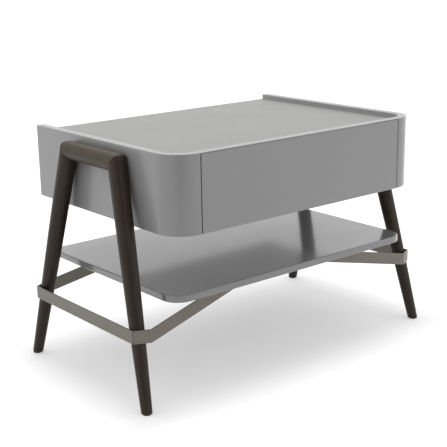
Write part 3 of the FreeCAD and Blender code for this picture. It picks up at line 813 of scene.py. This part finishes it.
def ball_tree(material):
    """Geometry Nodes that fill a ball row: balls at an even pitch from every starting point."""
    tree = bpy.data.node_groups.new("fill ball rows", "GeometryNodeTree")
    sockets = tree.interface
    sockets.new_socket("Rows", in_out="INPUT", socket_type="NodeSocketGeometry")
    radius = sockets.new_socket("Ball Radius", in_out="INPUT", socket_type="NodeSocketFloat")
    radius.default_value = 0.0014
    pitch = sockets.new_socket("Pitch", in_out="INPUT", socket_type="NodeSocketFloat")
    pitch.default_value = 0.01
    count = sockets.new_socket("Balls", in_out="INPUT", socket_type="NodeSocketInt")
    count.default_value = 20
    sockets.new_socket("Geometry", in_out="OUTPUT", socket_type="NodeSocketGeometry")
    nodes, links = tree.nodes, tree.links
    source = nodes.new("NodeGroupInput")
    result = nodes.new("NodeGroupOutput")
    line = nodes.new("GeometryNodeMeshLine")
    step = nodes.new("ShaderNodeCombineXYZ")
    ball = nodes.new("GeometryNodeMeshIcoSphere")
    ball.inputs["Subdivisions"].default_value = 2
    along = nodes.new("GeometryNodeInstanceOnPoints")
    rows = nodes.new("GeometryNodeInstanceOnPoints")
    real = nodes.new("GeometryNodeRealizeInstances")
    paint = nodes.new("GeometryNodeSetMaterial")
    paint.inputs["Material"].default_value = material
    links.new(source.outputs["Pitch"], step.inputs["Y"])
    links.new(source.outputs["Balls"], line.inputs["Count"])
    links.new(step.outputs["Vector"], line.inputs["Offset"])
    links.new(source.outputs["Ball Radius"], ball.inputs["Radius"])
    links.new(line.outputs["Mesh"], along.inputs["Points"])
    links.new(ball.outputs["Mesh"], along.inputs["Instance"])
    links.new(source.outputs["Rows"], rows.inputs["Points"])
    links.new(along.outputs["Instances"], rows.inputs["Instance"])
    links.new(rows.outputs["Instances"], real.inputs["Geometry"])
    links.new(real.outputs["Geometry"], paint.inputs["Geometry"])
    links.new(paint.outputs["Geometry"], result.inputs["Geometry"])
    return tree


def build_runners():
    tree = ball_tree(steel)
    for side in ("left", "right"):
        for kind, body in (("cabinet", "frame"), ("middle", "runner_middle_" + side),
                           ("drawer", "drawer")):
            node = f"{kind}_runner_{side}"
            stand_for(soft_copy(node, 0.35 * MM), node, body, steel)
        low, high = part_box(f"middle_runner_{side}")
        sign = -1 if side == "left" else 1
        outer_x = (high.x if side == "right" else low.x) - sign * BALL_INSET
        rows = [(outer_x, low.y + BALL_ROW_START, z) for z in (low.z - BALL_CENTRE,
                 high.z + BALL_CENTRE)]
        balls = run_tree(f"runner_balls_{side}", tree, rows, {"Ball Radius": BALL_RADIUS,
                         "Pitch": BALL_PITCH, "Balls": BALL_COUNT})
        for face in balls.data.polygons:
            face.use_smooth = True
        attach(balls, "runner_middle_" + side)


def dress_small_nodes():
    """CAD nodes whose shape is already right get their finish."""
    finishes = {"foot_glides": black_plastic, "standoff_washers": black_plastic,
                "mitre_dowels": beech, "trestle_inserts": steel, "trestle_bolts": steel,
                "strap_bolts": steel}
    for node, material in finishes.items():
        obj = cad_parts[node]
        obj.data.materials.clear()
        obj.data.materials.append(material)


# ---- room, light and camera ------------------------------------------------------------------
FLOOR_COLOUR = 0.60
PAINTED_SHADOW_GLOW, GLOW_AROUND = 0.375, 0.70  # floor glow under the table, lowered there as a painted shadow, and the even glow around it
PAINTED_SHADOW_HALF = (0.58, 0.31)               # half width and depth, in metres, of the painted shadow under the table
SHADOW_FADE_START, SHADOW_FADE_END = -0.06, 0.24     # metres past that area between which the painted shadow fades into the even glow
WORLD_LEVEL = 0.80


def build_room():
    bm = bmesh.new()
    half = 40.0
    bm.faces.new([bm.verts.new((x, y, 0)) for x, y in
                  ((-half, -half), (half, -half), (half, half), (-half, half))])
    floor = make_object("studio_floor", bm)
    for face in floor.data.polygons:
        if face.normal.z < 0:
            floor.data.flip_normals()
    n = Nodes("pale studio floor")
    tree = n.tree
    n.finish((FLOOR_COLOUR, FLOOR_COLOUR, FLOOR_COLOUR, 1), 0.9, specular=0.0)
    path = n.add("LightPath")
    seen = n.add("Math", {0: path.outputs["Is Camera Ray"], 1: path.outputs["Is Glossy Ray"]},
                 operation="MAXIMUM").outputs[0]
    seen = n.add("Math", {0: seen, 1: path.outputs["Is Transmission Ray"]},
                 operation="MAXIMUM").outputs[0]
    # Painted shadow: the floor's glow is lower over the table's footprint and fades up to the even
    # glow around it.
    place = n.add("SeparateXYZ", {"Vector": n.place})
    past = []
    for axis, half_size in zip("XY", PAINTED_SHADOW_HALF):
        distance = n.add("Math", {0: place.outputs[axis]}, operation="ABSOLUTE").outputs[0]
        past.append(n.add("Math", {0: distance, 1: half_size}, operation="SUBTRACT").outputs[0])
    reach = n.add("Math", {0: past[0], 1: past[1]}, operation="MAXIMUM").outputs[0]
    glow_with_painted_shadow = n.add("MapRange", {"Value": reach, "From Min": SHADOW_FADE_START, "From Max": SHADOW_FADE_END,
                              "To Min": PAINTED_SHADOW_GLOW, "To Max": GLOW_AROUND},
                 interpolation_type="SMOOTHSTEP").outputs["Result"]
    strength = n.add("Math", {0: seen, 1: glow_with_painted_shadow}, operation="MULTIPLY").outputs[0]
    n.shader.inputs["Emission Color"].default_value = (1, 1, 1, 1)
    n.set(n.shader.inputs["Emission Strength"], strength)
    floor.data.materials.append(n.material)

    world = bpy.data.worlds.new("white studio")
    bpy.context.scene.world = world
    world.use_nodes = True
    tree = world.node_tree
    background = tree.nodes["Background"]
    background.inputs["Color"].default_value = (1, 1, 1, 1)
    path = tree.nodes.new("ShaderNodeLightPath")
    seen = tree.nodes.new("ShaderNodeMath")
    seen.operation = "MAXIMUM"
    tree.links.new(path.outputs["Is Camera Ray"], seen.inputs[0])
    tree.links.new(path.outputs["Is Glossy Ray"], seen.inputs[1])
    level = tree.nodes.new("ShaderNodeMapRange")
    level.inputs["To Min"].default_value = WORLD_LEVEL
    level.inputs["To Max"].default_value = 1.0
    tree.links.new(seen.outputs[0], level.inputs["Value"])
    tree.links.new(level.outputs["Result"], background.inputs["Strength"])


def soft_box(name, place, target, size, power):
    """A square area lamp at a place, pointing at a target."""
    lamp = bpy.data.lights.new(name, "AREA")
    lamp.shape = "SQUARE"
    lamp.size = size
    lamp.energy = power
    obj = bpy.data.objects.new(name, lamp)
    obj.location = place
    obj.rotation_euler = (Vector(target) - Vector(place)).to_track_quat("-Z", "Y").to_euler()
    bpy.context.scene.collection.objects.link(obj)


def build_lights():
    centre = (0, 0, 0.5)
    soft_box("overhead soft box", (0.3, 0.9, 3.4), centre, 3.2, 35)
    soft_box("left soft box", (-3.2, 2.2, 1.9), centre, 2.2, 9)
    soft_box("right soft box", (3.0, -2.6, 1.8), centre, 2.2, 12)


def build_flag():
    """A dark card behind the camera, which keeps light off the near corner and the legs."""
    away = Vector((-math.sin(CAMERA_YAW), -math.cos(CAMERA_YAW), 0))
    across = Vector((math.cos(CAMERA_YAW), -math.sin(CAMERA_YAW), 0)) * FLAG_WIDTH / 2
    foot = Vector((CAMERA_PLACE.x, CAMERA_PLACE.y, 0)) + away * 0.5
    top = Vector((0, 0, FLAG_HEIGHT))
    bm = bmesh.new()
    bm.faces.new([bm.verts.new(p) for p in (foot - across, foot + across, foot + across + top,
                                            foot - across + top)])
    card = make_object("studio_flag", bm)
    n = Nodes("dark flag card")
    card.data.materials.append(n.finish((0.05, 0.05, 0.05, 1), 0.9, specular=0.0))
    card.visible_camera = False


FLAG_WIDTH, FLAG_HEIGHT = 2.2, 2.2
CAMERA_PLACE = Vector((-2.0705, -2.4776, 1.2743))
CAMERA_YAW, CAMERA_DOWN, CAMERA_ROLL = math.radians(39.47), math.radians(15.25), math.radians(-0.95)
CAMERA_LENS = 80.8


def build_camera():
    camera = bpy.data.cameras.new("camera")
    camera.lens = CAMERA_LENS
    camera.sensor_width = 36
    camera.clip_end = 200
    obj = bpy.data.objects.new("camera", camera)
    ahead = Vector((math.sin(CAMERA_YAW) * math.cos(CAMERA_DOWN),
                    math.cos(CAMERA_YAW) * math.cos(CAMERA_DOWN), -math.sin(CAMERA_DOWN)))
    right = Vector((math.cos(CAMERA_YAW), -math.sin(CAMERA_YAW), 0))
    up = right.cross(ahead)
    rolled_right = right * math.cos(CAMERA_ROLL) + up * math.sin(CAMERA_ROLL)
    rolled_up = up * math.cos(CAMERA_ROLL) - right * math.sin(CAMERA_ROLL)
    turn = Matrix((rolled_right, rolled_up, -ahead)).transposed()
    obj.matrix_world = Matrix.Translation(CAMERA_PLACE) @ turn.to_4x4()
    bpy.context.scene.collection.objects.link(obj)
    bpy.context.scene.camera = obj


def main():
    build_camera()
    build_lights()
    build_room()
    build_flag()
    build_case()
    build_shelf()
    build_drawer()
    build_trestles()
    build_straps()
    build_fasteners()
    build_runners()
    dress_small_nodes()
    bpy.context.scene.view_settings.view_transform = "Standard"


main()
